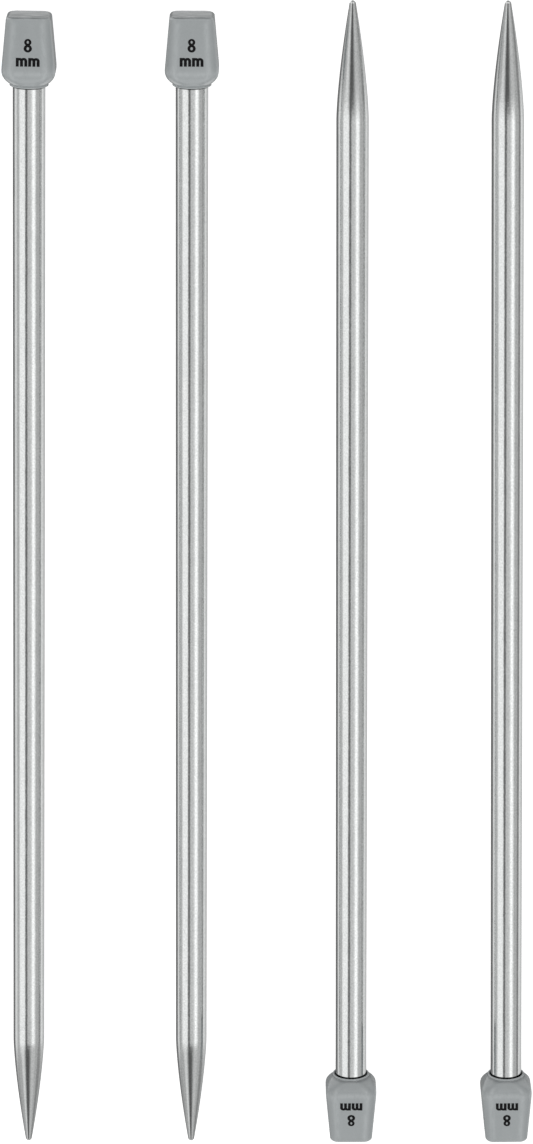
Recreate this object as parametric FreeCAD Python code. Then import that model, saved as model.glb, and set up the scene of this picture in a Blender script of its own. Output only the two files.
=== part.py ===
import FreeCAD, Part
import math
import os

# Straight knitting needles, 8 mm gauge: two pairs of single-point needles lying side by side on a
# table. Each needle is an aluminium tube, swaged at one end to a closed rounded point and pressed at
# the other end into a moulded plastic head, with its gauge printed on the head's upper face.
#
# Frame: millimetres, +Z up, the table is Z = 0. +Y runs along the needles, +X across them. The origin
# is at the centre of the footprint on the table. Needles 1 and 2 have their heads at +Y, needles 3 and
# 4 have theirs at -Y.
#
# In a needle's own frame the axis is the Y axis, the head's outer end is at y = 0 and the point is at
# y = -LENGTH, so "s", the distance from the head's outer end, is -y. The printed face looks along +Z.

# ---- driving dimensions, mm ----------------------------------------------------------------------
LENGTH = 300.0            # a needle from the head's outer end to its point
GAUGE = 8.0               # the shaft's outside diameter, which is the needle's size
WALL = 1.0                # the tube's wall
POINT_LENGTH = 29.5       # the swaged, ogive point
POINT_FALL = 0.02337      # the ogive: radius = GAUGE/2 - POINT_FALL * x ** POINT_POWER,
POINT_POWER = 1.463       # x being the distance from where the point begins
TIP_RADIUS = 0.82         # the ball at the end of the point

HEAD_LENGTH = 17.7        # along the axis
HEAD_HALF = 6.60          # half the head's width and depth at its shoulder
HEAD_END_HALF = 5.52      # the same at the outer end, before the rim is rounded
MOUTH_RADIUS = 4.52       # the head's round mouth, outside
MOUTH_GAP_RADIUS = 4.28   # the clearance round the shaft just inside the mouth
MOUTH_GAP_DEPTH = 1.5
RIM_RADIUS = 0.95         # the rounded rim of the outer end
SOCKET_FLOOR = 3.2        # where the tube's butt end stops, from the head's outer end
SPIGOT_LENGTH = 8.0       # the peg inside the head that plugs the tube
BUTT_CHAMFER = 0.25
NECK_RADIUS = 3.80        # the tube's end is drawn down where it presses into the head
NECK_STEP = 17.75         # where the neck begins to widen to the full gauge, just outside the mouth
NECK_END = 17.95

GROOVES = (6.6, 10.2)     # the centres of the two rolled grooves that lock the tube in the head
GROOVE_HALF = 0.70        # half a groove's width
GROOVE_DEPTH = 0.30

NUMBER_AT = 6.70          # the middle of the number, from the head's outer end
UNIT_AT = 10.72           # the middle of the unit
NUMBER_HEIGHT = 3.30
NUMBER_WIDTH = 2.00
UNIT_HEIGHT = 2.12
UNIT_WIDTH = 5.80
LETTER_STEM = 0.72        # the letters' upright strokes
LETTER_ARCH = 0.60        # the thickness of their arches at the top
INK_DEPTH = 0.10          # the print fills a shallow recess
INK_PROUD = 0.02

# Where each needle lies: x at y = 0, yaw in degrees about +Z from the Y axis, y of the outer end of
# the head, and whether the head is at the +Y end.
NEEDLES = (
    ("needle_1", -61.83, -0.92, 148.59, True),
    ("needle_2", -20.55, -0.33, 148.59, True),
    ("needle_3", 20.10, 0.21, -148.59, False),
    ("needle_4", 59.47, 0.745, -148.59, False),
)

R = GAUGE / 2
V = FreeCAD.Vector


# ---- the shaft -----------------------------------------------------------------------------------
def point_radius(x):
    """The shaft's radius at a distance x from its tip, along the ogive."""
    return R - POINT_FALL * max(0.0, POINT_LENGTH - x) ** POINT_POWER


def spline(points, start=None, end=None):
    curve = Part.BSplineCurve()
    if start is None:
        curve.interpolate([V(*p) for p in points])
    else:
        curve.interpolate(Points=[V(*p) for p in points], InitialTangent=V(*start), FinalTangent=V(*end))
    return curve.toShape()


def line(a, b):
    return Part.LineSegment(V(*a), V(*b)).toShape()


def arc(a, b, c):
    return Part.Arc(V(*a), V(*b), V(*c)).toShape()


def groove(radius, s, depth):
    """A shallow rolled groove in a wall at this radius, from s - GROOVE_HALF to s + GROOVE_HALF."""
    return arc((radius, -(s - GROOVE_HALF), 0), (radius - depth, -s, 0), (radius, -(s + GROOVE_HALF), 0))


def outer_profile():
    """The tube's outside, from the butt end on the axis side to the tip, as edges in the XY plane."""
    n = NECK_RADIUS
    edges = [line((0, -SOCKET_FLOOR, 0), (n - BUTT_CHAMFER, -SOCKET_FLOOR, 0)),
             line((n - BUTT_CHAMFER, -SOCKET_FLOOR, 0), (n, -(SOCKET_FLOOR + BUTT_CHAMFER), 0))]
    at = SOCKET_FLOOR + BUTT_CHAMFER
    for s in GROOVES:
        edges.append(line((n, -at, 0), (n, -(s - GROOVE_HALF), 0)))
        edges.append(groove(n, s, GROOVE_DEPTH))
        at = s + GROOVE_HALF
    edges.append(line((n, -at, 0), (n, -NECK_STEP, 0)))
    edges.append(line((n, -NECK_STEP, 0), (R, -NECK_END, 0)))
    edges.append(line((R, -NECK_END, 0), (R, -(LENGTH - POINT_LENGTH), 0)))
    # the ogive, down to where it meets the ball of the tip
    slope = POINT_FALL * POINT_POWER * (POINT_LENGTH - 0.7) ** (POINT_POWER - 1)
    lean = math.atan(slope)
    x_ball = TIP_RADIUS * (1 - math.sin(lean))
    r_ball = TIP_RADIUS * math.cos(lean)
    xs = [POINT_LENGTH - (POINT_LENGTH - x_ball) * (i / 16.0) for i in range(17)]
    points = [(point_radius(x), -(LENGTH - x), 0) for x in xs]
    points[0] = (R, -(LENGTH - POINT_LENGTH), 0)
    points[-1] = (r_ball, -(LENGTH - x_ball), 0)
    edges.append(spline(points, start=(0, -1, 0), end=(-math.sin(lean), -math.cos(lean), 0)))
    half = math.radians(45) + lean / 2
    edges.append(arc(points[-1],
                     (TIP_RADIUS * math.cos(half), -(LENGTH - TIP_RADIUS + TIP_RADIUS * math.sin(half)), 0),
                     (0, -LENGTH, 0)))
    edges.append(line((0, -LENGTH, 0), (0, -SOCKET_FLOOR, 0)))
    return edges


def bore_edges(end_s):
    """The bore's wall from the butt end to end_s (or to its closed end), as edges in the XY plane."""
    r = R - WALL
    edges, at = [], SOCKET_FLOOR
    for s in GROOVES:
        if s + GROOVE_HALF > end_s:
            break
        edges.append(line((r, -at, 0), (r, -(s - GROOVE_HALF), 0)))
        edges.append(groove(r, s, GROOVE_DEPTH * 0.8))
        at = s + GROOVE_HALF
    return edges, at, r


def revolve(edges):
    face = Part.Face(Part.Wire(Part.__sortEdges__(edges)))
    return face.revolve(V(0, 0, 0), V(0, 1, 0), 360)


def bore():
    """The tube's bore: even along the shaft, narrowing inside the point and closed before the tip."""
    edges, at, r = bore_edges(LENGTH)
    start = LENGTH - POINT_LENGTH - 1.5
    edges.append(line((r, -at, 0), (r, -start, 0)))
    points = [(r, -start, 0), (2.50, -(LENGTH - 23.5), 0), (1.62, -(LENGTH - 17.0), 0), (0.62, -(LENGTH - 11.2), 0)]
    edges.append(spline(points, start=(0, -1, 0), end=(-0.30, -1, 0)))
    edges.append(line(points[-1], (0, -(LENGTH - 9.6), 0)))
    edges.append(line((0, -(LENGTH - 9.6), 0), (0, -SOCKET_FLOOR, 0)))
    edges.append(line((0, -SOCKET_FLOOR, 0), (r, -SOCKET_FLOOR, 0)))
    return revolve(edges)


def spigot():
    """The peg that plugs the tube's bore: it fills the rolled ridges and stops after SPIGOT_LENGTH."""
    end = SOCKET_FLOOR + SPIGOT_LENGTH
    edges, at, r = bore_edges(end)
    edges.append(line((r, -at, 0), (r, -(end - 0.6), 0)))
    edges.append(line((r, -(end - 0.6), 0), (r - 0.6, -end, 0)))
    edges.append(line((r - 0.6, -end, 0), (0, -end, 0)))
    edges.append(line((0, -end, 0), (0, -SOCKET_FLOOR, 0)))
    edges.append(line((0, -SOCKET_FLOOR, 0), (r, -SOCKET_FLOOR, 0)))
    return revolve(edges)


# ---- the head ------------------------------------------------------------------------------------
SHOULDER = ((0.0, MOUTH_RADIUS, 0.0), (0.45, 4.82, 0.42), (1.28, 5.42, 1.22), (2.24, 6.10, 2.12),
            (3.20, 6.48, 2.88), (4.20, HEAD_HALF, 3.40), (5.40, 6.53, 3.63))


def side_half(z):
    """Half the head's width on its straight, leaning sides, at a distance z from the mouth."""
    z0, z1 = 5.40, HEAD_LENGTH - RIM_RADIUS
    return 6.53 + (HEAD_END_HALF - 6.53) * (z - z0) / (z1 - z0)


def head_sections():
    """(s, half width, half of the flat's length) of each section from the mouth to the outer end."""
    out = [(HEAD_LENGTH - z, h, f) for z, h, f in SHOULDER]
    z1 = HEAD_LENGTH - RIM_RADIUS
    for z in (7.2, 9.4, 11.8, 14.2, z1):
        out.append((HEAD_LENGTH - z, side_half(z), 3.63 + (3.20 - 3.63) * (z - 5.40) / (z1 - 5.40)))
    for deg in (22, 44, 64, 80, 90):
        a = math.radians(deg)
        fall = RIM_RADIUS * (1 - math.cos(a)) + 0.03 * math.sin(a)
        out.append((RIM_RADIUS * (1 - math.sin(a)), HEAD_END_HALF - fall, 3.20))
    return out


def section_wire(s, half, flat):
    """A rounded square across the axis, eight edges from the right-hand flat round to it again."""
    edges = []
    if flat < 0.05:  # the round mouth, split where the flats run out
        d = math.radians(3.0)
        for k in range(4):
            m = k * math.pi / 2
            for a0, a1 in ((m - d, m + d), (m + d, m + math.pi / 2 - d)):
                p = [(half * math.cos(a), -s, half * math.sin(a)) for a in (a0, (a0 + a1) / 2, a1)]
                edges.append(arc(*p))
        return Part.Wire(edges)
    rc = half - flat
    c45 = math.sqrt(0.5)
    for k in range(4):
        m = k * math.pi / 2
        def turn(x, z):
            return (x * math.cos(m) - z * math.sin(m), -s, x * math.sin(m) + z * math.cos(m))
        edges.append(line(turn(half, -flat), turn(half, flat)))
        edges.append(arc(turn(half, flat), turn(flat + rc * c45, flat + rc * c45), turn(flat, half)))
    return Part.Wire(edges)


def head_outer():
    return Part.makeLoft([section_wire(*x) for x in head_sections()], True, False, False, 5)


# ---- the print -----------------------------------------------------------------------------------
INK = INK_DEPTH + INK_PROUD


def ellipse_plate(cx, cy, rx, ry, low=0.0, high=INK):
    """A flat plate with a smooth elliptical outline, on the XY plane."""
    if abs(rx - ry) < 1e-6:
        e = Part.Circle(V(cx, cy, low), V(0, 0, 1), rx).toShape()
    elif rx > ry:
        e = Part.Ellipse(V(cx + rx, cy, low), V(cx, cy + ry, low), V(cx, cy, low)).toShape()
    else:
        e = Part.Ellipse(V(cx, cy + ry, low), V(cx - rx, cy, low), V(cx, cy, low)).toShape()
    return Part.Face(Part.Wire([e])).extrude(V(0, 0, high - low))


def box_plate(x0, y0, x1, y1, low=0.0, high=INK):
    return Part.makeBox(x1 - x0, y1 - y0, high - low, V(x0, y0, low))


def number_solid():
    """A plain figure 8 of two loops, the upper one smaller, centred on the origin, +Y up."""
    h, w = NUMBER_HEIGHT, NUMBER_WIDTH
    low_ry, top_ry = h * 0.285, h * 0.255
    low_c, top_c = -h / 2 + low_ry, h / 2 - top_ry
    body = ellipse_plate(0, low_c, w / 2, low_ry).fuse(ellipse_plate(0, top_c, w * 0.44, top_ry))
    body = body.cut(ellipse_plate(0, low_c - 0.02, w * 0.155, low_ry - 0.56, -1, 1))
    body = body.cut(ellipse_plate(0, top_c + 0.02, w * 0.130, top_ry - 0.50, -1, 1))
    return body.removeSplitter()


def letter_m(x0):
    """A plain lower-case m whose left edge is at x0, on a base line at y = -UNIT_HEIGHT / 2."""
    width = (UNIT_WIDTH - 0.22) / 2
    stem, h = LETTER_STEM, UNIT_HEIGHT
    base, top = -h / 2, h / 2
    pitch = (width - stem) / 2
    out = box_plate(x0, base, x0 + stem, top)
    for k in (0, 1):
        left, right = x0 + pitch * k, x0 + pitch * (k + 1) + stem
        cx, rx, ry = (left + right) / 2, (right - left) / 2, 0.78
        arch = ellipse_plate(cx, top - ry, rx, ry)
        arch = arch.cut(ellipse_plate(cx, top - ry, rx - stem, ry - LETTER_ARCH, -1, 1))
        arch = arch.cut(box_plate(left - 1, top - 3 * ry, right + 1, top - ry, -1, 1))
        out = out.fuse(arch).fuse(box_plate(right - stem, base, right, top - ry))
    return out.removeSplitter()


def unit_solids():
    width = (UNIT_WIDTH - 0.22) / 2
    return letter_m(-UNIT_WIDTH / 2), letter_m(UNIT_WIDTH / 2 - width)


def on_face(glyph, s):
    """A glyph moved to the leaning printed face at s, from INK_DEPTH below it to INK_PROUD above it."""
    lean = math.degrees(math.atan((6.53 - HEAD_END_HALF) / (HEAD_LENGTH - RIM_RADIUS - 5.40)))
    out = glyph.copy()
    out.translate(V(0, 0, -INK_DEPTH))
    out.rotate(V(0, 0, 0), V(1, 0, 0), -lean)
    out.translate(V(0, -s, side_half(HEAD_LENGTH - s)))
    return out


# ---- one needle ----------------------------------------------------------------------------------
def solid_of(shape):
    """The shape as one solid, or as a compound of separate solids."""
    solids = shape.Solids
    assert solids, "no solid"
    return solids[0] if len(solids) == 1 else Part.makeCompound(solids)


envelope = revolve(outer_profile())
shaft = solid_of(envelope.cut(bore()))

number = solid_of(on_face(number_solid(), NUMBER_AT))
unit = Part.makeCompound([s for m in unit_solids() for s in on_face(m, UNIT_AT).Solids])

head = head_outer().cut(envelope)
gap = Part.makeCylinder(MOUTH_GAP_RADIUS, MOUTH_GAP_DEPTH + 1, V(0, -(HEAD_LENGTH - MOUTH_GAP_DEPTH), 0), V(0, -1, 0))
gap = gap.cut(Part.makeCylinder(NECK_RADIUS - 0.5, MOUTH_GAP_DEPTH + 3, V(0, -(HEAD_LENGTH - MOUTH_GAP_DEPTH) + 1, 0), V(0, -1, 0)))
head = head.cut(gap)
head = head.fuse(spigot())
for ink in [number] + unit.Solids:
    head = head.cut(ink)
head = solid_of(head.removeSplitter())


# ---- how a needle lies: on the underside of its shoulder and on the start of its point ------------
def resting():
    """(height of the axis at s = 0, tilt in radians) so that head and shaft both just touch the table."""
    under_head = [(s, h) for s, h, f in head_sections() if f > 3.0]
    under_shaft = [(LENGTH - x, point_radius(x)) for x in [POINT_LENGTH * i / 200.0 for i in range(201)]]
    tilt, height = 0.01, 6.7
    for _ in range(60):
        height = max(h * math.cos(tilt) + s * math.sin(tilt) for s, h in under_head)
        s, r = max(under_shaft, key=lambda p: p[1] * math.cos(tilt) + p[0] * math.sin(tilt))
        tilt = math.asin((height - r * math.cos(tilt)) / s)
    return height, tilt


height, tilt = resting()


def lying(shape, x, yaw, y_end, head_at_plus_y):
    # Turned about X so that the point is low, then about Z, then set down.
    out = shape.copy()
    out.rotate(V(0, 0, 0), V(1, 0, 0), math.degrees(tilt))
    if not head_at_plus_y:
        out.rotate(V(0, 0, 0), V(0, 0, 1), 180)
    out.rotate(V(0, 0, 0), V(0, 0, 1), yaw)
    out.translate(V(x - math.tan(math.radians(yaw)) * y_end, y_end, height))
    return out


os.makedirs("parts", exist_ok=True)
box = FreeCAD.BoundBox()
for name, x, yaw, y_end, head_at_plus_y in NEEDLES:
    for piece, shape in (("shaft", shaft), ("head", head), ("size_number", number), ("size_unit", unit)):
        placed = lying(shape, x, yaw, y_end, head_at_plus_y)
        assert placed.isValid(), name + " " + piece
        placed.exportStep("parts/%s_%s.step" % (name, piece))
        box.add(placed.optimalBoundingBox())
        if name == "needle_1":
            print("%s: %d solid(s), volume %.1f mm3" % (piece, len(placed.Solids), placed.Volume))
print("axis height at the head's end %.4f mm, tilt %.4f degrees" % (height, math.degrees(tilt)))
print("box x %.2f %.2f  y %.2f %.2f  z %.3f %.3f" % (box.XMin, box.XMax, box.YMin, box.YMax, box.ZMin, box.ZMax))
print("shaft and head overlap %.4f mm3" % shaft.common(head).Volume)
print("head and print overlap %.4f mm3" % (head.common(number).Volume + head.common(unit).Volume))
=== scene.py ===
import math

import bmesh
import bpy
from mathutils import Matrix, Vector, noise


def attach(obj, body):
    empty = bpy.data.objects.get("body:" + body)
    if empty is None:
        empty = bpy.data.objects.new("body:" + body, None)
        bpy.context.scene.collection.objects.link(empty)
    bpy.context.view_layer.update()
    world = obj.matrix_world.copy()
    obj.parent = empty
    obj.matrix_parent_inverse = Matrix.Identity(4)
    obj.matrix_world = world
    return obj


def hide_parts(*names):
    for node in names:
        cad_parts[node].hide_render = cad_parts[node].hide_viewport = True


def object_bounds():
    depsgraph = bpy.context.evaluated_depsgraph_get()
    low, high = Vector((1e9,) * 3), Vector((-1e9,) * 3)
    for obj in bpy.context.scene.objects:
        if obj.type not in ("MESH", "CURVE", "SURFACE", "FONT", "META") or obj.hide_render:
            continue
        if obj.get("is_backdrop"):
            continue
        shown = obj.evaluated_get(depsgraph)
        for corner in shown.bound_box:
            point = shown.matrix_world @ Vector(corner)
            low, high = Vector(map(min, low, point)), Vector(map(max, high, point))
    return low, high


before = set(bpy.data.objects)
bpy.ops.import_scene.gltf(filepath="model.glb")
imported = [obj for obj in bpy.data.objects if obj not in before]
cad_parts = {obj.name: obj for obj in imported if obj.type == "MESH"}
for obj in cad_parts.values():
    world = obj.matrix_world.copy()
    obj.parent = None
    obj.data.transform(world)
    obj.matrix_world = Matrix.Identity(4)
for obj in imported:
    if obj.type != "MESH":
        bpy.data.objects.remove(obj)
bounds_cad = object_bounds()

MM = 0.001

# ---- the needle's dimensions, mm, the same as the CAD model's ------------------------------------
LENGTH = 300.0
R = 4.0
WALL = 1.0
POINT_LENGTH = 29.5
POINT_FALL = 0.02337
POINT_POWER = 1.463
TIP_RADIUS = 0.82

HEAD_LENGTH = 17.7
HEAD_HALF = 6.60
HEAD_END_HALF = 5.52
MOUTH_RADIUS = 4.52
GAP_RADIUS = 4.28
GAP_DEPTH = 1.5
RIM = 0.95
SOCKET_FLOOR = 3.2
SPIGOT_LENGTH = 8.0
CHAMFER = 0.25
NECK = 3.80
NECK_STEP = 17.75
NECK_END = 17.95
GROOVES = (6.6, 10.2)
GROOVE_HALF = 0.70
GROOVE_DEPTH = 0.30

NUMBER_AT = 6.70
UNIT_AT = 10.72
NUMBER_HEIGHT = 3.30
NUMBER_WIDTH = 2.00
UNIT_HEIGHT = 2.12
UNIT_WIDTH = 5.80
LETTER_STEM = 0.72
LETTER_ARCH = 0.60
INK_DEPTH = 0.10
INK_PROUD = 0.02

HEIGHT = 6.7362          # of the axis at the head's outer end
TILT = math.radians(0.5796)
NEEDLES = (
    ("needle_1", -61.83, -0.92, 148.59, True),
    ("needle_2", -20.55, -0.33, 148.59, True),
    ("needle_3", 20.10, 0.21, -148.59, False),
    ("needle_4", 59.47, 0.745, -148.59, False),
)


def placing(x, yaw, y_end, head_at_plus_y):
    """The matrix that lays a needle, made in metres in its own frame, where the CAD model has it."""
    yaw = math.radians(yaw)
    m = Matrix.Translation(((x - math.tan(yaw) * y_end) * MM, y_end * MM, HEIGHT * MM))
    m = m @ Matrix.Rotation(yaw, 4, "Z")
    if not head_at_plus_y:
        m = m @ Matrix.Rotation(math.pi, 4, "Z")
    return m @ Matrix.Rotation(TILT, 4, "X")


# ---- mesh helpers --------------------------------------------------------------------------------
def finish_mesh(bm, name, matrix, sharp_deg=32.0):
    """Smooth shading with true edges, the needle's own coordinates kept in the attribute "local", and
    the points moved to where the needle lies."""
    bmesh.ops.recalc_face_normals(bm, faces=bm.faces[:])
    local = bm.verts.layers.float_vector.new("local")
    for v in bm.verts:
        v[local] = v.co
    limit = math.radians(sharp_deg)
    for e in bm.edges:
        e.smooth = not (len(e.link_faces) == 2 and e.calc_face_angle(0.0) > limit)
    for f in bm.faces:
        f.smooth = True
    bm.transform(matrix)
    me = bpy.data.meshes.new(name)
    bm.to_mesh(me)
    bm.free()
    return me


def stitch(bm, rings, start=None, end=None):
    """Quads between closed rings of equal length, with a fan to a single point at either end."""
    n = len(rings[0])
    if start is not None:
        for i in range(n):
            bm.faces.new((start, rings[0][i], rings[0][(i + 1) % n]))
    for a, b in zip(rings, rings[1:]):
        for i in range(n):
            j = (i + 1) % n
            bm.faces.new((a[i], b[i], b[j], a[j]))
    if end is not None:
        for i in range(n):
            bm.faces.new((end, rings[-1][(i + 1) % n], rings[-1][i]))


def monotone(points):
    """A smooth curve through (x, a, b, ...) points with no overshoot, as a function of x."""
    xs = [p[0] for p in points]
    width = len(points[0]) - 1

    def slopes(col):
        d = [(points[i + 1][col] - points[i][col]) / (xs[i + 1] - xs[i]) for i in range(len(xs) - 1)]
        m = [d[0]] + [0.0] * (len(xs) - 2) + [d[-1]]
        for i in range(1, len(xs) - 1):
            if d[i - 1] * d[i] > 0:
                h0, h1 = xs[i] - xs[i - 1], xs[i + 1] - xs[i]
                w1, w2 = 2 * h1 + h0, h1 + 2 * h0
                m[i] = (w1 + w2) / (w1 / d[i - 1] + w2 / d[i])
        return m

    ms = [slopes(c + 1) for c in range(width)]

    def at(x):
        i = 0
        while i < len(xs) - 2 and x > xs[i + 1]:
            i += 1
        h = xs[i + 1] - xs[i]
        t = min(1.0, max(0.0, (x - xs[i]) / h))
        out = []
        for c in range(width):
            p0, p1 = points[i][c + 1], points[i + 1][c + 1]
            m0, m1 = ms[c][i], ms[c][i + 1]
            out.append((2 * t ** 3 - 3 * t ** 2 + 1) * p0 + (t ** 3 - 2 * t ** 2 + t) * h * m0
                       + (-2 * t ** 3 + 3 * t ** 2) * p1 + (t ** 3 - t ** 2) * h * m1)
        return out
    return at


def span(a, b, n, skip_first=False):
    """n + 1 numbers from a to b."""
    return [a + (b - a) * i / n for i in range(1 if skip_first else 0, n + 1)]


def groove_run(radius, depth, n=8):
    """(s, r) points over the two rolled grooves in a wall at this radius, without its two ends."""
    out = []
    # the arc through (0, 0), (half, -depth), (2 * half, 0)
    big = (GROOVE_HALF ** 2 + depth ** 2) / (2 * depth)
    for centre in GROOVES:
        for k in range(n + 1):
            d = -GROOVE_HALF + 2 * GROOVE_HALF * k / n
            out.append((centre + d, radius - (math.sqrt(big ** 2 - d ** 2) - (big - depth))))
    return out


# ---- the shaft -----------------------------------------------------------------------------------
def point_radius(x):
    return R - POINT_FALL * max(0.0, POINT_LENGTH - x) ** POINT_POWER


def shaft_profile():
    """(s, r) from the closed end of the bore, out of the butt, and along the outside to the tip."""
    r = R - WALL
    out = [(LENGTH - 9.6, 0.0)]
    nose = monotone([(LENGTH - POINT_LENGTH - 1.5, r), (LENGTH - 23.5, 2.50), (LENGTH - 17.0, 1.62),
                     (LENGTH - 11.2, 0.62)])
    out.append((LENGTH - 10.2, 0.30))
    for s in span(LENGTH - 11.2, LENGTH - POINT_LENGTH - 1.5, 18):
        out.append((s, nose(s)[0]))
    for s in span(LENGTH - POINT_LENGTH - 1.5, 12.4, 10, True):
        out.append((s, r))
    out += [p for p in reversed(groove_run(r, GROOVE_DEPTH * 0.8))]
    out.append((SOCKET_FLOOR, r))
    out.append((SOCKET_FLOOR, NECK - CHAMFER))
    out.append((SOCKET_FLOOR + CHAMFER, NECK))
    out += groove_run(NECK, GROOVE_DEPTH)
    out += [(13.0, NECK), (15.5, NECK), (17.2, NECK), (NECK_STEP, NECK), (NECK_END, R)]
    out += [(18.05, R), (18.4, R), (19.5, R)]
    for s in span(19.5, LENGTH - POINT_LENGTH, 24, True):
        out.append((s, R))
    slope = POINT_FALL * POINT_POWER * (POINT_LENGTH - 0.7) ** (POINT_POWER - 1)
    lean = math.atan(slope)
    x_ball = TIP_RADIUS * (1 - math.sin(lean))
    for k in range(1, 57):
        x = POINT_LENGTH - (POINT_LENGTH - x_ball) * k / 56.0
        out.append((LENGTH - x, point_radius(x)))
    out[-1] = (LENGTH - x_ball, TIP_RADIUS * math.cos(lean))
    for k in range(1, 15):
        a = lean + (math.pi / 2 - lean) * k / 14.0
        out.append((LENGTH - TIP_RADIUS + TIP_RADIUS * math.sin(a), TIP_RADIUS * math.cos(a)))
    out[-1] = (LENGTH, 0.0)
    return out


def make_shaft(name, matrix, segments=144):
    bm = bmesh.new()
    profile = shaft_profile()
    rings = []
    for s, r in profile[1:-1]:
        rings.append([bm.verts.new((r * math.cos(2 * math.pi * i / segments) * MM, -s * MM,
                                    r * math.sin(2 * math.pi * i / segments) * MM)) for i in range(segments)])
    first = bm.verts.new((0, -profile[0][0] * MM, 0))
    last = bm.verts.new((0, -profile[-1][0] * MM, 0))
    stitch(bm, rings, first, last)
    return finish_mesh(bm, name, matrix)


# ---- the head ------------------------------------------------------------------------------------
# (z from the mouth, half width, half of the flat's length); the first rows are the small bead round
# the mouth and the crease behind it
SHOULDER = ((0.78, 4.86, 0.56), (1.00, 5.12, 0.86), (1.36, 5.46, 1.30), (2.24, 6.10, 2.12),
            (3.20, 6.48, 2.88), (4.20, HEAD_HALF, 3.40), (5.40, 6.53, 3.63))
BEAD = ((0.70, 4.76, 0.42), (0.63, 4.685, 0.30), (0.56, 4.65, 0.20), (0.49, 4.66, 0.12), (0.42, 4.715, 0.06),
        (0.34, 4.78, 0.02), (0.26, 4.80, 0.0), (0.17, 4.78, 0.0), (0.09, 4.71, 0.0), (0.03, 4.62, 0.0),
        (0.004, 4.53, 0.0), (0.0, 4.46, 0.0), (0.015, 4.39, 0.0), (0.06, 4.325, 0.0), (0.13, 4.29, 0.0),
        (0.22, GAP_RADIUS, 0.0))


def column_angles(per_quarter=40):
    """Angles round the axis, closer together at the corners of the rounded square."""
    fine = 2000
    weight = [1 + 2.3 * math.exp(-(((k + 0.5) / fine * 90 - 45) / 16.0) ** 2) for k in range(fine)]
    total = sum(weight)
    out, acc, k = [], 0.0, 0
    for i in range(per_quarter):
        want = total * i / per_quarter
        while acc + weight[k] <= want:
            acc += weight[k]
            k += 1
        out.append((k + (want - acc) / weight[k]) / fine * math.pi / 2)
    return [q * math.pi / 2 + a for q in range(4) for a in out]


COLUMNS = column_angles()


def outline(half, flat, angle):
    """Where a ray from the axis at this angle leaves a rounded square."""
    a = angle % (math.pi / 2)
    if a > math.pi / 4:
        a = math.pi / 2 - a
    rc = half - flat
    if half * math.tan(a) <= flat:
        return half / math.cos(a)
    # the corner's arc, centred at (flat, flat)
    b = flat * (math.cos(a) + math.sin(a))
    return b + math.sqrt(max(0.0, b * b - (2 * flat * flat - rc * rc)))


def side_half(z):
    z0, z1 = 5.40, HEAD_LENGTH - RIM
    return 6.53 + (HEAD_END_HALF - 6.53) * (z - z0) / (z1 - z0)


def head_rows():
    """(s, half, flat, wear and painted highlight) of each row, from the outer end round to the middle of the peg.
    """
    rows = []
    dome = 0.05
    top_half = HEAD_END_HALF - RIM - 0.03
    for f in (0.12, 0.24, 0.36, 0.47, 0.57, 0.66, 0.74, 0.81, 0.88, 0.94):
        rows.append((dome * f * f, top_half * f, 3.20 * f * f * f, 0.0))
    for k in range(16):
        a = math.radians(90 - 6 * k)
        fall = RIM * (1 - math.cos(a)) + 0.03 * math.sin(a)
        worn_and_lit = math.exp(-((math.degrees(a) - 50) / 24.0) ** 2)
        rows.append((dome + (RIM - dome) * (1 - math.sin(a)), HEAD_END_HALF - fall, 3.20, worn_and_lit))
    z1 = HEAD_LENGTH - RIM
    side = 22
    for k in range(1, side):
        z = z1 + (5.40 - z1) * k / side
        rows.append((HEAD_LENGTH - z, side_half(z), 3.63 + (3.20 - 3.63) * (z - 5.40) / (z1 - 5.40), 0.0))
    shape = monotone(list(SHOULDER))
    for k in range(0, 41):
        t = k / 40.0
        z = 5.40 + (0.78 - 5.40) * (t + 0.12 * math.sin(math.pi * t) * (1 - t))
        half, flat = shape(z)
        rows.append((HEAD_LENGTH - z, half, flat, 0.8 * math.exp(-((z - 3.9) / 0.9) ** 2)))
    # the bead's crest gets a painted highlight in the wear column
    for z, half, flat in BEAD:
        rows.append((HEAD_LENGTH - z, half, flat, 0.7 if z < 0.3 and half > 4.4 else 0.0))
    # inside: the clearance ring, the socket with its ribs, the floor and the peg
    inner = [(HEAD_LENGTH - 0.8, GAP_RADIUS), (HEAD_LENGTH - GAP_DEPTH, GAP_RADIUS),
             (HEAD_LENGTH - GAP_DEPTH, NECK), (13.2, NECK)]
    inner += list(reversed(groove_run(NECK, GROOVE_DEPTH)))
    inner += [(SOCKET_FLOOR + CHAMFER, NECK), (SOCKET_FLOOR, NECK - CHAMFER), (SOCKET_FLOOR, R - WALL)]
    inner += groove_run(R - WALL, GROOVE_DEPTH * 0.8)
    inner = [p for p in inner]
    end = SOCKET_FLOOR + SPIGOT_LENGTH
    inner += [(end - 0.25, R - WALL), (end, R - WALL - 0.5), (end, 1.2)]
    rows += [(s, r, 0.0, 0.0) for s, r in inner]
    return rows


def end_sink(px, pz, seed):
    """Depth in mm of the moulding's sink on its end face: a shallow dish, with waves in it."""
    dish = 0.11 * max(0.0, 1.0 - (px * px + pz * pz) / HEAD_END_HALF ** 2)
    return dish + 0.05 * (1.0 + noise.noise(Vector((px * 0.34 + seed, pz * 0.50, 3.7))))


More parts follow.
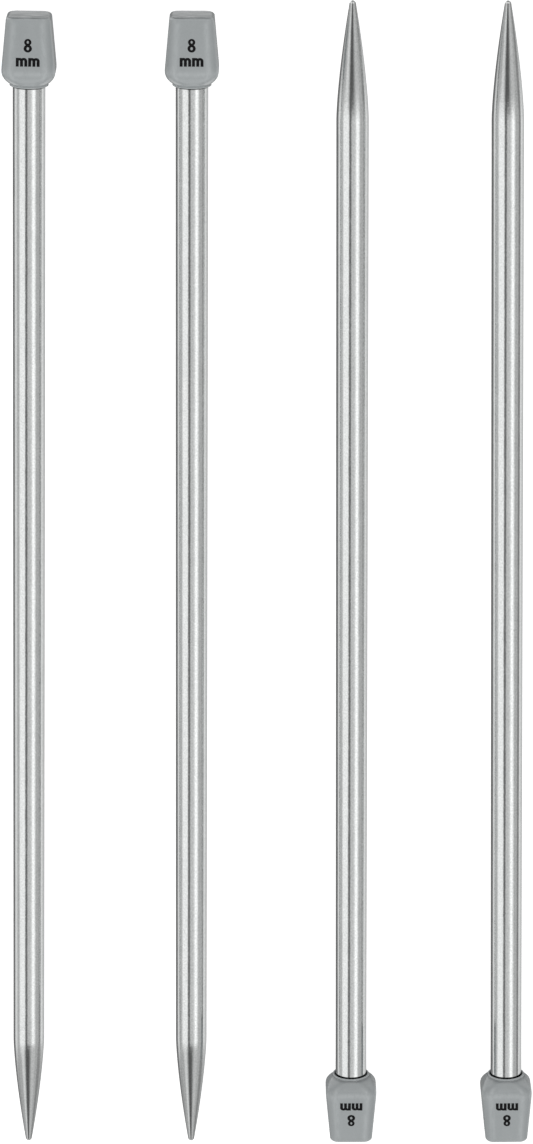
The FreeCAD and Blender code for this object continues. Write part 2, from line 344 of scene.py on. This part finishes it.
def make_head(name, matrix, seed, bead_shade):
    bm = bmesh.new()
    wear_and_sheen = bm.verts.layers.float.new("wear_and_sheen")
    painted_shade = bm.verts.layers.float.new("painted_shade")
    corner = bm.verts.layers.float.new("corner")
    rings = []
    for s, half, flat, worn_and_lit in head_rows():
        ring = []
        z = HEAD_LENGTH - s
        for a in COLUMNS:
            rad = outline(half, flat, a)
            sink = 0.0
            if s < RIM and half < HEAD_END_HALF - 0.3:
                # the shallow, uneven sink of the end face, which fades out on the rim
                inside = min(1.0, (HEAD_END_HALF - 0.3 - half) / 1.1)
                inside = inside * inside * (3 - 2 * inside)
                px, pz = rad * math.cos(a), rad * math.sin(a)
                sink = inside * end_sink(px, pz, seed)
            v = bm.verts.new((rad * math.cos(a) * MM, -(s + sink) * MM, rad * math.sin(a) * MM))
            # painted shade: a dark line round the end face's rim, and shade in the crease behind the mouth's bead
            if s < RIM:
                lean = math.degrees(math.asin(min(1.0, max(0.0, 1 - max(0.0, s - 0.05) / (RIM - 0.05)))))
                along = 0.5 + noise.noise(Vector((rad * math.cos(a) * 0.5 + seed, rad * math.sin(a) * 0.5, 9.1)))
                at_rim = math.exp(-((lean - 66) / 17.0) ** 2)
                v[painted_shade] = (0.60 + 1.10 * along) * at_rim if half > HEAD_END_HALF - RIM - 0.1 else 0.0
            else:
                v[painted_shade] = bead_shade * math.exp(-((z - 0.62) / 0.22) ** 2) if 4.5 < half < 5.4 else 0.0
            # painted highlight: brighter where each flat rolls over into a corner
            turn = abs((math.degrees(a) % 90) - 45)
            painted_band = math.exp(-((turn - 13.5) / 4.2) ** 2)
            on_side = min(1.0, max(0.0, (s - 0.6) / 1.2)) * min(1.0, max(0.0, (z - 1.6) / 1.4))
            v[wear_and_sheen] = max(worn_and_lit, painted_band * on_side)
            # painted shade: the middle of each rounded corner is marked for darkening
            v[corner] = math.exp(-(turn / 9.0) ** 4) * on_side
            ring.append(v)
        rings.append(ring)
    first = bm.verts.new((0, -end_sink(0.0, 0.0, seed) * MM, 0))
    last = bm.verts.new((0, -(SOCKET_FLOOR + SPIGOT_LENGTH) * MM, 0))
    stitch(bm, rings, first, last)
    return finish_mesh(bm, name, matrix)


# ---- the print -----------------------------------------------------------------------------------
def ellipse(cx, cy, rx, ry, a0=0.0, a1=360.0, n=48):
    closed = abs(abs(a1 - a0) - 360.0) < 1e-6
    count = n if closed else n + 1
    return [(cx + rx * math.cos(math.radians(a0 + (a1 - a0) * k / n)),
             cy + ry * math.sin(math.radians(a0 + (a1 - a0) * k / n))) for k in range(count)]


def number_outlines():
    """A plain figure 8: its outside and its two counters."""
    h, w = NUMBER_HEIGHT, NUMBER_WIDTH
    low_ry, top_ry = h * 0.285, h * 0.255
    low_rx, top_rx = w / 2, w * 0.44
    low_c, top_c = -h / 2 + low_ry, h / 2 - top_ry
    # where the two loops cross, at the waist
    best = None
    for k in range(4001):
        y = low_c + (top_c - low_c) * k / 4000.0
        a = 1 - ((y - low_c) / low_ry) ** 2
        b = 1 - ((y - top_c) / top_ry) ** 2
        if a < 0 or b < 0:
            continue
        gap = abs(low_rx * math.sqrt(a) - top_rx * math.sqrt(b))
        if best is None or gap < best[0]:
            best = (gap, y, low_rx * math.sqrt(a))
    _, yc, xc = best
    al = math.degrees(math.atan2((yc - low_c) / low_ry, xc / low_rx))
    at = math.degrees(math.atan2((yc - top_c) / top_ry, xc / top_rx))
    outside = ellipse(0, top_c, top_rx, top_ry, at, 180 - at, 44)
    outside += ellipse(0, low_c, low_rx, low_ry, 180 - al, 360 + al, 52)[1:-1]
    return [outside, ellipse(0, low_c - 0.02, w * 0.155, low_ry - 0.56, n=36),
            ellipse(0, top_c + 0.02, w * 0.130, top_ry - 0.50, n=36)]


def letter_m_outline(x0):
    """A plain lower-case m as one outline, its left edge at x0."""
    width = (UNIT_WIDTH - 0.22) / 2
    stem, h = LETTER_STEM, UNIT_HEIGHT
    base, top = -h / 2, h / 2
    pitch = (width - stem) / 2
    ry, rx = 0.78, (pitch + stem) / 2
    c1, c2 = x0 + rx, x0 + pitch + rx
    irx, iry = rx - stem, ry - LETTER_ARCH
    meet = math.degrees(math.acos((c2 - c1) / 2 / rx))
    start = math.degrees(math.acos((c1 - (x0 + stem)) / rx))
    pts = [(x0, base), (x0, top), (x0 + stem, top)]
    pts += ellipse(c1, top - ry, rx, ry, 180 - start, meet, 16)
    pts += ellipse(c2, top - ry, rx, ry, 180 - meet, 0, 20)[1:]
    right = x0 + pitch * 2 + stem
    pts += [(right, base), (right - stem, base)]
    pts += ellipse(c2, top - ry, irx, iry, 0, 180, 14)
    pts += [(c2 - irx, base), (c2 - irx - stem, base)]
    pts += ellipse(c1, top - ry, irx, iry, 0, 180, 14)
    pts += [(x0 + stem, base)]
    return pts


def make_ink(name, groups, s_at, matrix):
    """Printed shapes as thin closed plates that follow the leaning face. groups: [outline, holes...]"""
    lean = math.atan((6.53 - HEAD_END_HALF) / (HEAD_LENGTH - RIM - 5.40))
    bm = bmesh.new()
    for outlines in groups:
        curve = bpy.data.curves.new(name + "_outline", "CURVE")
        curve.dimensions = "2D"
        curve.fill_mode = "BOTH"
        for pts in outlines:
            spline = curve.splines.new("POLY")
            spline.points.add(len(pts) - 1)
            for p, (x, y) in zip(spline.points, pts):
                p.co = (x, y, 0.0, 1.0)
            spline.use_cyclic_u = True
        holder = bpy.data.objects.new(name + "_outline", curve)
        flat = bpy.data.meshes.new_from_object(holder)
        part = bmesh.new()
        part.from_mesh(flat)
        bmesh.ops.remove_doubles(part, verts=part.verts[:], dist=1e-5)
        bmesh.ops.recalc_face_normals(part, faces=part.faces[:])
        made = bmesh.ops.extrude_face_region(part, geom=part.faces[:])
        for v in [g for g in made["geom"] if isinstance(g, bmesh.types.BMVert)]:
            v.co.z += INK_DEPTH + INK_PROUD
        tmp = bpy.data.meshes.new(name + "_tmp")
        part.to_mesh(tmp)
        part.free()
        bm.from_mesh(tmp)
        bpy.data.objects.remove(holder)
        bpy.data.curves.remove(curve)
        bpy.data.meshes.remove(flat)
        bpy.data.meshes.remove(tmp)
    turn = (Matrix.Translation((0, -s_at, side_half(HEAD_LENGTH - s_at)))
            @ Matrix.Rotation(-lean, 4, "X") @ Matrix.Translation((0, 0, -INK_DEPTH)))
    for v in bm.verts:
        v.co = (turn @ v.co) * MM
    return finish_mesh(bm, name, matrix)


# ---- materials -----------------------------------------------------------------------------------
class Nodes:
    def __init__(self, tree):
        self.tree = tree
        tree.nodes.clear()

    def add(self, kind, **values):
        node = self.tree.nodes.new(kind)
        for key, value in values.items():
            setattr(node, key, value)
        return node

    def link(self, a, b):
        self.tree.links.new(a, b)

    def math(self, op, a, b=None, clamp=False):
        node = self.add("ShaderNodeMath", operation=op, use_clamp=clamp)
        for socket, value in zip(node.inputs, (a, b)):
            if value is None:
                continue
            if isinstance(value, (int, float)):
                socket.default_value = value
            else:
                self.link(value, socket)
        return node.outputs[0]

    def ramp_range(self, value, low, high, to_low, to_high, smooth=False):
        node = self.add("ShaderNodeMapRange")
        node.interpolation_type = "SMOOTHSTEP" if smooth else "LINEAR"
        node.inputs["From Min"].default_value = low
        node.inputs["From Max"].default_value = high
        node.inputs["To Min"].default_value = to_low
        node.inputs["To Max"].default_value = to_high
        self.link(value, node.inputs["Value"])
        return node.outputs["Result"]

    def noise(self, vector, scale, detail=4.0, rough=0.55, distortion=0.0, w=None):
        node = self.add("ShaderNodeTexNoise")
        if w is not None:
            node.noise_dimensions = "4D"
            node.inputs["W"].default_value = w
        node.inputs["Scale"].default_value = scale
        node.inputs["Detail"].default_value = detail
        node.inputs["Roughness"].default_value = rough
        node.inputs["Distortion"].default_value = distortion
        self.link(vector, node.inputs["Vector"])
        return node.outputs["Fac"]

    def mapping(self, vector, scale):
        node = self.add("ShaderNodeMapping")
        node.inputs["Scale"].default_value = scale
        self.link(vector, node.inputs["Vector"])
        return node.outputs["Vector"]

    def mix(self, factor, a, b, blend="MIX"):
        node = self.add("ShaderNodeMix", data_type="RGBA", blend_type=blend)
        for socket, value in ((node.inputs[0], factor), (node.inputs[6], a), (node.inputs[7], b)):
            if isinstance(value, (int, float)):
                socket.default_value = value
            elif isinstance(value, tuple):
                socket.default_value = value if len(value) == 4 else value + (1.0,)
            else:
                self.link(value, socket)
        return node.outputs[2]

    def bump(self, height, strength, distance, normal=None):
        node = self.add("ShaderNodeBump")
        node.inputs["Strength"].default_value = strength
        node.inputs["Distance"].default_value = distance
        self.link(height, node.inputs["Height"])
        if normal is not None:
            self.link(normal, node.inputs["Normal"])
        return node.outputs["Normal"]


def new_material(name):
    mat = bpy.data.materials.new(name)
    mat.use_nodes = True
    n = Nodes(mat.node_tree)
    out = n.add("ShaderNodeOutputMaterial")
    shader = n.add("ShaderNodeBsdfPrincipled")
    n.link(shader.outputs[0], out.inputs[0])
    return mat, n, shader


def aluminium(name, seed):
    """Drawn and polished aluminium: fine lines along the tube, faint clouds, a few small dull marks."""
    mat, n, shader = new_material(name)
    coord = n.add("ShaderNodeAttribute", attribute_type="GEOMETRY", attribute_name="local").outputs["Vector"]
    lines = n.noise(n.mapping(coord, (1.0, 0.016, 1.0)), 5200.0, 5.0, 0.62, 0.0, seed + 0.3)
    clouds = n.noise(n.mapping(coord, (1.0, 0.35, 1.0)), 420.0, 4.0, 0.60, 0.15, seed + 5.1)
    grain = n.noise(n.mapping(coord, (1.0, 0.75, 1.0)), 2700.0, 3.0, 0.62, 0.0, seed + 9.7)
    marks = n.noise(n.mapping(coord, (1.0, 0.55, 1.0)), 900.0, 3.0, 0.55, 0.4, seed + 14.2)
    marks = n.ramp_range(marks, 0.60, 0.74, 0.0, 1.0, True)

    tone = n.math("ADD", n.ramp_range(clouds, 0.30, 0.70, -0.090, 0.080),
                  n.ramp_range(lines, 0.30, 0.70, -0.050, 0.050))
    tone = n.math("ADD", tone, n.ramp_range(grain, 0.30, 0.70, -0.300, 0.300))
    tone = n.math("ADD", tone, n.math("MULTIPLY", marks, -0.14))
    tone = n.math("ADD", tone, 0.5)
    base = n.mix(tone, (0.565, 0.578, 0.575), (0.885, 0.900, 0.896))
    # painted shade on the metal where it enters the head, dark as the shadow in the gap round the mouth
    y = n.add("ShaderNodeSeparateXYZ")
    n.link(coord, y.inputs[0])
    # painted shade: the metal goes nearly black over the last quarter millimetre before the mouth
    ring = n.ramp_range(y.outputs[1], -18.12 * MM, -17.86 * MM, 0.0, 0.93, True)
    base = n.mix(ring, base, (0.030, 0.032, 0.032))
    n.link(base, shader.inputs["Base Color"])
    shader.inputs["Metallic"].default_value = 1.0
    rough = n.math("ADD", n.ramp_range(clouds, 0.30, 0.70, 0.065, 0.100), n.math("MULTIPLY", marks, 0.10))
    rough = n.math("ADD", rough, n.ramp_range(lines, 0.30, 0.70, -0.012, 0.012))
    n.link(rough, shader.inputs["Roughness"])
    normal = n.bump(lines, 0.40, 0.000006)
    normal = n.bump(grain, 0.70, 0.000016, normal)
    normal = n.bump(clouds, 0.55, 0.000045, normal)
    n.link(normal, shader.inputs["Normal"])
    return mat


def moulded(name, seed):
    """Moulded grey plastic, satin, with a faint flow in its colour, handled edges worn smoother and lighter,
    painted highlights where the flats roll into the corners and on the bead, and painted shade in the corners, in
    the crease and round the end face's rim.
    """
    mat, n, shader = new_material(name)
    coord = n.add("ShaderNodeAttribute", attribute_type="GEOMETRY", attribute_name="local").outputs["Vector"]
    flow = n.noise(n.mapping(coord, (1.0, 0.55, 1.0)), 190.0, 4.0, 0.55, 0.6, seed + 2.2)
    fleck = n.noise(coord, 4200.0, 3.0, 0.60, 0.0, seed + 6.6)
    skin = n.noise(coord, 1500.0, 4.0, 0.60, 0.0, seed + 11.9)
    scuff = n.noise(n.mapping(coord, (1.0, 0.3, 1.0)), 1300.0, 4.0, 0.60, 0.8, seed + 17.4)
    wear_and_sheen = n.add("ShaderNodeAttribute", attribute_type="GEOMETRY", attribute_name="wear_and_sheen").outputs["Fac"]
    worn_and_lit = n.math("MULTIPLY", wear_and_sheen, n.ramp_range(scuff, 0.36, 0.60, 0.35, 1.0, True))
    corner = n.add("ShaderNodeAttribute", attribute_type="GEOMETRY", attribute_name="corner").outputs["Fac"]

    tone = n.math("ADD", n.ramp_range(flow, 0.30, 0.70, -0.055, 0.055),
                  n.ramp_range(fleck, 0.30, 0.70, -0.075, 0.075))
    tone = n.math("ADD", tone, n.ramp_range(skin, 0.30, 0.70, -0.035, 0.035))
    # edge wear lighter, with painted highlights on the corner bands and on the bead's crest
    tone = n.math("ADD", n.math("ADD", tone, 0.5), n.math("MULTIPLY", worn_and_lit, 0.33))
    # painted shade: darker in the middle of each rounded corner
    tone = n.math("ADD", tone, n.math("MULTIPLY", corner, -0.14))
    base = n.mix(tone, (0.345, 0.370, 0.376), (0.580, 0.614, 0.622))
    # painted shade in the crease behind the bead, and a painted dark line round the end face's rim
    painted_shade = n.add("ShaderNodeAttribute", attribute_type="GEOMETRY", attribute_name="painted_shade").outputs["Fac"]
    shade_mix = n.math("MULTIPLY", painted_shade, n.ramp_range(flow, 0.25, 0.75, 0.20, 0.42))
    # painted shade: the crease and the rim line go towards near black
    base = n.mix(shade_mix, base, (0.085, 0.092, 0.094))
    n.link(base, shader.inputs["Base Color"])
    shader.inputs["Metallic"].default_value = 0.0
    shader.inputs["IOR"].default_value = 1.50
    shader.inputs["Specular IOR Level"].default_value = 0.62
    rough = n.math("ADD", n.ramp_range(skin, 0.30, 0.70, 0.14, 0.20), n.math("MULTIPLY", worn_and_lit, -0.03))
    rough = n.math("ADD", rough, n.ramp_range(fleck, 0.30, 0.70, -0.02, 0.02))
    n.link(rough, shader.inputs["Roughness"])
    normal = n.bump(skin, 0.30, 0.000012)
    normal = n.bump(fleck, 0.35, 0.000004, normal)
    normal = n.bump(flow, 0.30, 0.00004, normal)
    n.link(normal, shader.inputs["Normal"])
    return mat


def print_ink(name, seed):
    """Black pad-print ink: dense, with slightly thin patches and a dry, faintly grained skin."""
    mat, n, shader = new_material(name)
    coord = n.add("ShaderNodeAttribute", attribute_type="GEOMETRY", attribute_name="local").outputs["Vector"]
    thin = n.noise(coord, 2300.0, 4.0, 0.62, 0.2, seed + 3.1)
    grain = n.noise(coord, 9000.0, 3.0, 0.60, 0.0, seed + 8.8)
    tone = n.math("ADD", n.ramp_range(thin, 0.35, 0.72, 0.0, 0.75), n.ramp_range(grain, 0.30, 0.70, 0.0, 0.2))
    base = n.mix(tone, (0.003, 0.003, 0.0035), (0.014, 0.0145, 0.015))
    n.link(base, shader.inputs["Base Color"])
    shader.inputs["Specular IOR Level"].default_value = 0.14
    n.link(n.ramp_range(thin, 0.30, 0.70, 0.42, 0.56), shader.inputs["Roughness"])
    normal = n.bump(grain, 0.35, 0.000004)
    normal = n.bump(thin, 0.25, 0.00001, normal)
    n.link(normal, shader.inputs["Normal"])
    return mat


# ---- the needles ---------------------------------------------------------------------------------
def add_piece(name, mesh, material, body, node):
    mesh.materials.append(material)
    piece = bpy.data.objects.new(name, mesh)
    bpy.context.scene.collection.objects.link(piece)
    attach(piece, body)
    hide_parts(node)
    return piece


# how strong the painted shade behind each head's bead is: lighter on the first pair than on the second
BEAD_SHADE = (0.30, 0.35, 1.40, 1.30)

for k, (name, x, yaw, y_end, head_at_plus_y) in enumerate(NEEDLES):
    matrix = placing(x, yaw, y_end, head_at_plus_y)
    seed = 23.0 * k
    bead_shade = BEAD_SHADE[k]
    add_piece(name + "_drawn_shaft", make_shaft(name + "_drawn_shaft", matrix),
              aluminium("aluminium_%d" % (k + 1), seed), name, name + "_shaft")
    add_piece(name + "_moulded_head", make_head(name + "_moulded_head", matrix, seed, bead_shade),
              moulded("grey_plastic_%d" % (k + 1), seed), name, name + "_head")
    ink = print_ink("print_ink_%d" % (k + 1), seed)
    add_piece(name + "_printed_number", make_ink(name + "_printed_number", [number_outlines()], NUMBER_AT, matrix),
              ink, name, name + "_size_number")
    width = (UNIT_WIDTH - 0.22) / 2
    letters = [[letter_m_outline(-UNIT_WIDTH / 2)], [letter_m_outline(UNIT_WIDTH / 2 - width)]]
    add_piece(name + "_printed_unit", make_ink(name + "_printed_unit", letters, UNIT_AT, matrix),
              ink, name, name + "_size_unit")


# ---- floor ---------------------------------------------------------------------------------------
def make_floor():
    half = 3.0
    me = bpy.data.meshes.new("floor")
    z = -0.00003
    me.from_pydata([(-half, -half, z), (half, -half, z), (half, half, z), (-half, half, z)], [], [(0, 1, 2, 3)])
    floor = bpy.data.objects.new("floor", me)
    bpy.context.scene.collection.objects.link(floor)
    mat = bpy.data.materials.new("pale_floor")
    mat.use_nodes = True
    n = Nodes(mat.node_tree)
    out = n.add("ShaderNodeOutputMaterial")
    matte = n.add("ShaderNodeBsdfDiffuse")
    matte.inputs["Color"].default_value = (0.62, 0.62, 0.62, 1)
    glow = n.add("ShaderNodeEmission")
    path = n.add("ShaderNodeLightPath")
    n.link(n.math("MULTIPLY", path.outputs["Is Camera Ray"], 0.82), glow.inputs["Strength"])
    both = n.add("ShaderNodeAddShader")
    n.link(matte.outputs[0], both.inputs[0])
    n.link(glow.outputs[0], both.inputs[1])
    n.link(both.outputs[0], out.inputs[0])
    me.materials.append(mat)
    floor.visible_glossy = False
    floor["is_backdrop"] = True
    return floor


make_floor()

# ---- studio light --------------------------------------------------------------------------------
# A studio of long strips that run along the needles, each (from, to, brightness), in degrees from
# straight up: a wide soft box on the left, a narrower and brighter one on the right, a narrow black
# flag between them, grey walls, and the pale table below with the needles' dark surroundings on it.
LEFT = ((0, 5, 0.66), (12, 21, 0.19), (29, 64, 1.10), (76, 89, 0.55), (98, 115, 0.86), (127, 180, 0.19))
RIGHT = ((0, 11, 0.68), (16, 20, 0.78), (30, 41, 1.30), (57, 78, 0.53), (88, 98, 0.26), (107, 118, 0.90),
         (126, 134, 0.70), (142, 152, 0.62), (163, 180, 0.25))
# The same beyond the ends of the soft boxes, which is what the leaning surfaces of the points show.
LEFT_FAR = ((0, 19, 0.12), (38, 52, 0.80), (64, 88, 0.50), (96, 120, 0.40), (134, 180, 0.20))
RIGHT_FAR = ((0, 3, 0.14), (25, 46, 0.62), (60, 72, 0.50), (84, 110, 0.30), (118, 130, 0.46), (146, 180, 0.22))


def make_world():
    world = bpy.data.worlds.new("studio")
    bpy.context.scene.world = world
    world.use_nodes = True
    n = Nodes(world.node_tree)
    out = n.add("ShaderNodeOutputWorld")
    coord = n.add("ShaderNodeTexCoord")
    xyz = n.add("ShaderNodeSeparateXYZ")
    n.link(coord.outputs["Generated"], xyz.inputs[0])
    angle = n.math("ARCTAN2", xyz.outputs[0], xyz.outputs[2])
    part = n.math("DIVIDE", n.math("ABSOLUTE", angle), math.pi)
    right_side = n.math("GREATER_THAN", angle, 0.0)

    def ramp(strips):
        node = n.add("ShaderNodeValToRGB")
        els = node.color_ramp.elements
        while len(els) > 1:
            els.remove(els[-1])
        stops = [(deg, value) for low, high, value in strips for deg in (low, high)]
        for i, (deg, value) in enumerate(stops):
            v = value / 2.0     # the ramp holds half the brightness, so that none is cut at 1
            colour = (v, v, v, 1)
            if i == 0:
                els[0].position = deg / 180.0
                els[0].color = colour
            else:
                els.new(deg / 180.0).color = colour
        n.link(part, node.inputs[0])
        return node.outputs[0]

    near = n.mix(right_side, ramp(LEFT), ramp(RIGHT))
    far = n.mix(right_side, ramp(LEFT_FAR), ramp(RIGHT_FAR))
    y = xyz.outputs[1]
    window = n.math("MULTIPLY", n.ramp_range(y, -0.51, -0.41, 0.0, 1.0, True),
                    n.ramp_range(y, -0.13, 0.0, 1.0, 0.0, True))
    window = n.math("ADD", window, n.ramp_range(y, 0.26, 0.36, 0.0, 1.0, True))
    seen = n.mix(window, far, near)
    # the pale table in front of the heads, low down, which their end faces show
    table = n.math("MULTIPLY", n.ramp_range(y, 0.15, 0.22, 0.0, 1.0, True),
                   n.ramp_range(xyz.outputs[2], -0.95, -0.86, 1.0, 0.0, True))
    seen = n.mix(table, seen, (0.40, 0.40, 0.40))
    # and its other end, which the insides of their mouths' beads show
    table = n.math("MULTIPLY", n.ramp_range(y, -0.60, -0.50, 1.0, 0.0, True),
                   n.ramp_range(xyz.outputs[2], -0.50, -0.32, 1.0, 0.0, True))
    table = n.math("MULTIPLY", table,
                   n.ramp_range(n.math("ABSOLUTE", xyz.outputs[0]), 0.45, 0.58, 1.0, 0.0, True))
    seen = n.mix(table, seen, (0.46, 0.46, 0.46))
    # and beside the needles, low down on the left, which the sides of the shoulders facing +Y show
    table = n.math("MULTIPLY", n.ramp_range(y, 0.08, 0.20, 0.0, 1.0, True),
                   n.ramp_range(xyz.outputs[2], -0.10, 0.05, 1.0, 0.0, True))
    table = n.math("MULTIPLY", table, n.ramp_range(xyz.outputs[0], -0.45, -0.30, 1.0, 0.0, True))
    seen = n.mix(table, seen, (0.60, 0.60, 0.60))
    # past both ends of the table: a pale wall above, dark below the table's edge
    ends = n.ramp_range(n.math("ABSOLUTE", y), 0.78, 0.93, 0.0, 0.90, True)
    wall = n.mix(n.ramp_range(xyz.outputs[2], -0.08, 0.16, 0.0, 1.0, True), (0.03, 0.03, 0.03), (0.42, 0.42, 0.42))
    seen = n.mix(ends, seen, wall)

    glossy = n.add("ShaderNodeBackground")
    glossy.inputs["Strength"].default_value = 2.0
    n.link(seen, glossy.inputs["Color"])
    # soft, almost even light for everything that isn't a mirror, a little stronger from the -Y side
    even = n.add("ShaderNodeBackground")
    n.link(n.ramp_range(y, -1.0, 1.0, 1.16, 0.64), even.inputs["Strength"])
    plain = n.add("ShaderNodeBackground")
    plain.inputs["Color"].default_value = (0.96, 0.96, 0.96, 1)
    plain.inputs["Strength"].default_value = 1.0
    path = n.add("ShaderNodeLightPath")
    a = n.add("ShaderNodeMixShader")
    n.link(path.outputs["Is Glossy Ray"], a.inputs[0])
    n.link(even.outputs[0], a.inputs[1])
    n.link(glossy.outputs[0], a.inputs[2])
    b = n.add("ShaderNodeMixShader")
    n.link(path.outputs["Is Camera Ray"], b.inputs[0])
    n.link(a.outputs[0], b.inputs[1])
    n.link(plain.outputs[0], b.inputs[2])
    n.link(b.outputs[0], out.inputs[0])
    world.cycles.sampling_method = "NONE"


make_world()

# ---- camera --------------------------------------------------------------------------------------
camera_data = bpy.data.cameras.new("camera")
camera = bpy.data.objects.new("camera", camera_data)
bpy.context.scene.collection.objects.link(camera)
tilt = math.radians(16.96)
distance = 1150.0
target = Vector((-1.53, 4.22, 0.0))
camera.location = (target + distance * Vector((0, math.sin(tilt), math.cos(tilt)))) * MM
camera.rotation_euler = (-tilt, 0, 0)
camera_data.sensor_width = 36.0
camera_data.sensor_fit = "AUTO"
camera_data.lens = 4516.0 * 36.0 / 1144.0
camera_data.clip_start = 0.01
camera_data.clip_end = 20.0
bpy.context.scene.camera = camera

bpy.context.scene.view_settings.view_transform = "Standard"
bpy.context.scene.view_settings.look = "None"

# ---- bounds of the CAD model and of the visual model ---------------------------------------------
bpy.context.view_layer.update()
bounds_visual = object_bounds()


def plain_list(value):
    if isinstance(value, (int, float)):
        return float(value)
    return [plain_list(v) for v in value]


{"cad": plain_list(bounds_cad), "visual": plain_list(bounds_visual)}
